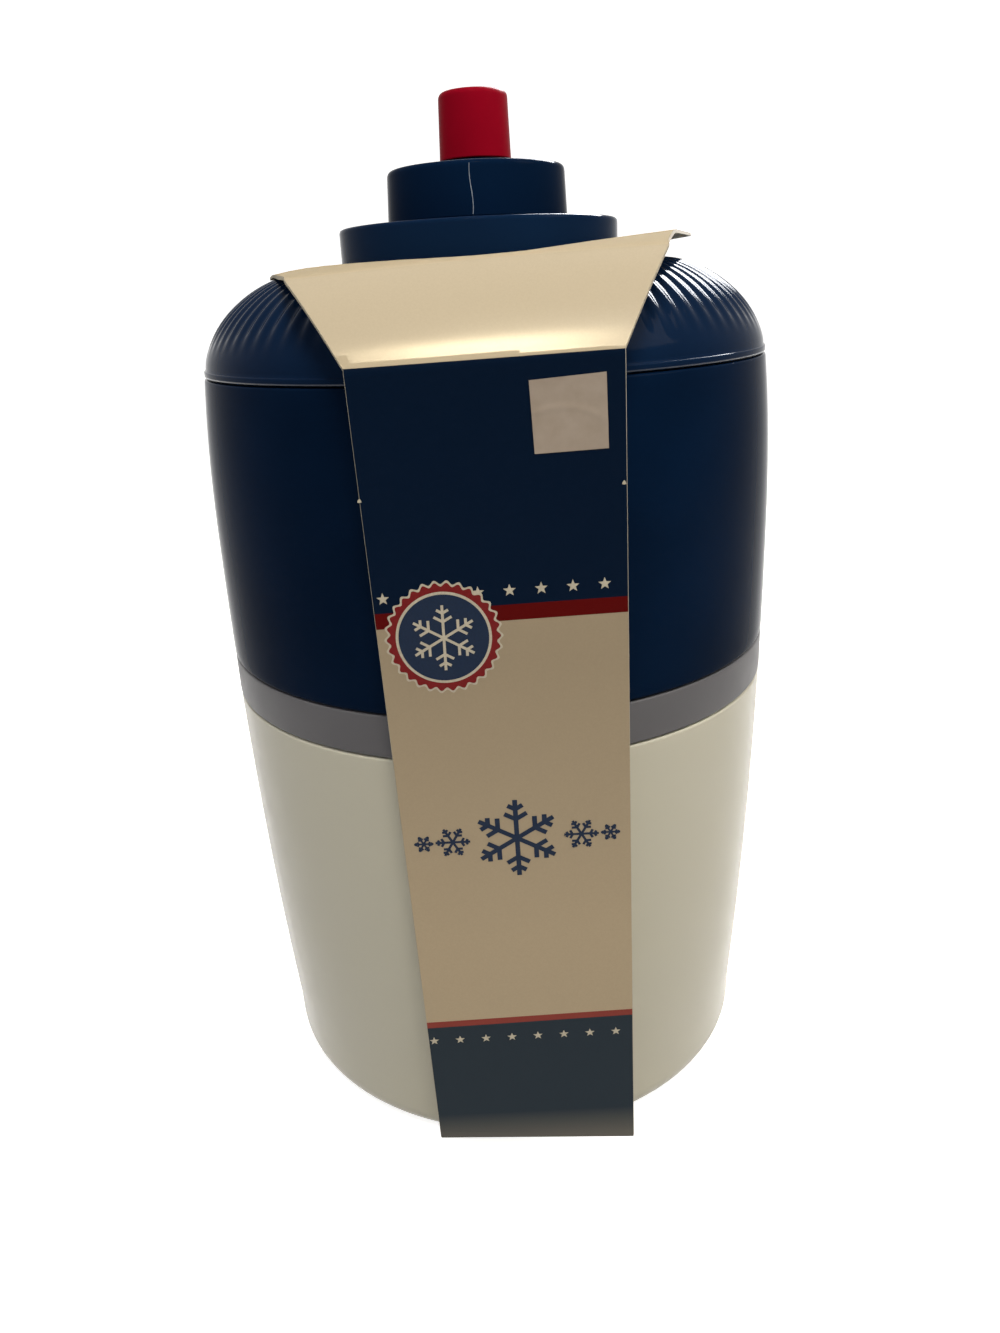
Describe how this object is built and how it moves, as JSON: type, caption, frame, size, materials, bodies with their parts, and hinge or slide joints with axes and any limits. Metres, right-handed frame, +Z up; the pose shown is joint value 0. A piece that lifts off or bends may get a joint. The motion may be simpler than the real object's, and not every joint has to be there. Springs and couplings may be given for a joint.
{
  "type": "ice shaver",
  "caption": "Hand cranked ice shaver: barrel cup, grey blade carrier, housing, fluted dome lid, top crank with upright knob, sprung pusher inside, card sleeve over the lid.",
  "frame": {"origin": "middle of the base pad's underside, on the axis of the body and of the crank shaft", "axes": "+Z up along the crank shaft; -Y is the front with the card sleeve's printed face; the crank arm points to +Y at rest"},
  "size_m": [0.1264, 0.1594, 0.236],
  "materials": {
    "white_cup": "warm white moulded plastic, soft gloss",
    "silicone": "grey silicone, matt",
    "grey_plastic": "blue grey moulded plastic",
    "blade_steel": "brushed stainless steel",
    "screw_steel": "plain bright steel",
    "clear_plastic": "translucent frosted plastic",
    "navy_plastic": "dark navy ABS, glossy",
    "nylon": "natural nylon",
    "red_plastic": "crimson moulded plastic",
    "white_pusher": "white polypropylene",
    "printed_card": "coated card, printed navy, cream and red"
  },
  "bodies": {
    "cup": {"catch_cup": "white_cup", "base_pad": "silicone"},
    "housing": {"upper_housing": "navy_plastic", "ice_chamber": "clear_plastic", "blade_carrier": "grey_plastic", "shaving_blade": "blade_steel", "blade_clamp": "blade_steel", "blade_screw_1": "screw_steel", "blade_screw_2": "screw_steel", "carrier_screw_1": "screw_steel", "carrier_screw_2": "screw_steel", "carrier_screw_3": "screw_steel"},
    "lid": {"lid_dome": "navy_plastic", "lid_seal": "silicone", "bearing_turret": "navy_plastic", "turret_screw_1": "screw_steel", "turret_screw_2": "screw_steel", "turret_screw_3": "screw_steel", "shaft_bush": "nylon", "thrust_washer": "nylon", "card_sleeve": "printed_card"},
    "crank": {"crank_shaft": "screw_steel", "crank_arm": "navy_plastic", "crank_screw": "screw_steel", "knob_pin": "screw_steel", "retaining_clip": "screw_steel", "spring_cup": "screw_steel", "pusher_spring": "screw_steel"},
    "knob": {"knob": "red_plastic", "knob_cap": "red_plastic"},
    "pusher": {"pusher_disc": "white_pusher", "spike_plate": "blade_steel"}
  },
  "joints": [
    {"name": "housing_lift", "type": "slide", "parent": "cup", "child": "housing", "axis": [0, 0, 1], "range_m": [0, 0.04]},
    {"name": "lid_lift", "type": "slide", "parent": "housing", "child": "lid", "axis": [0, 0, 1], "range_m": [0, 0.065]},
    {"name": "crank_turn", "type": "hinge", "parent": "lid", "child": "crank", "pos_m": [0, 0, 0.2], "axis": [0, 0, 1], "continuous": true},
    {"name": "knob_spin", "type": "hinge", "parent": "crank", "child": "knob", "pos_m": [0, 0.083, 0.22], "axis": [0, 0, 1], "continuous": true},
    {"name": "pusher_rise", "type": "slide", "parent": "crank", "child": "pusher", "axis": [0, 0, 1], "range_m": [0, 0.036], "stiffness_N_per_m": 420, "springref_m": -0.012, "deforming": ["pusher_spring"]}
  ]
}
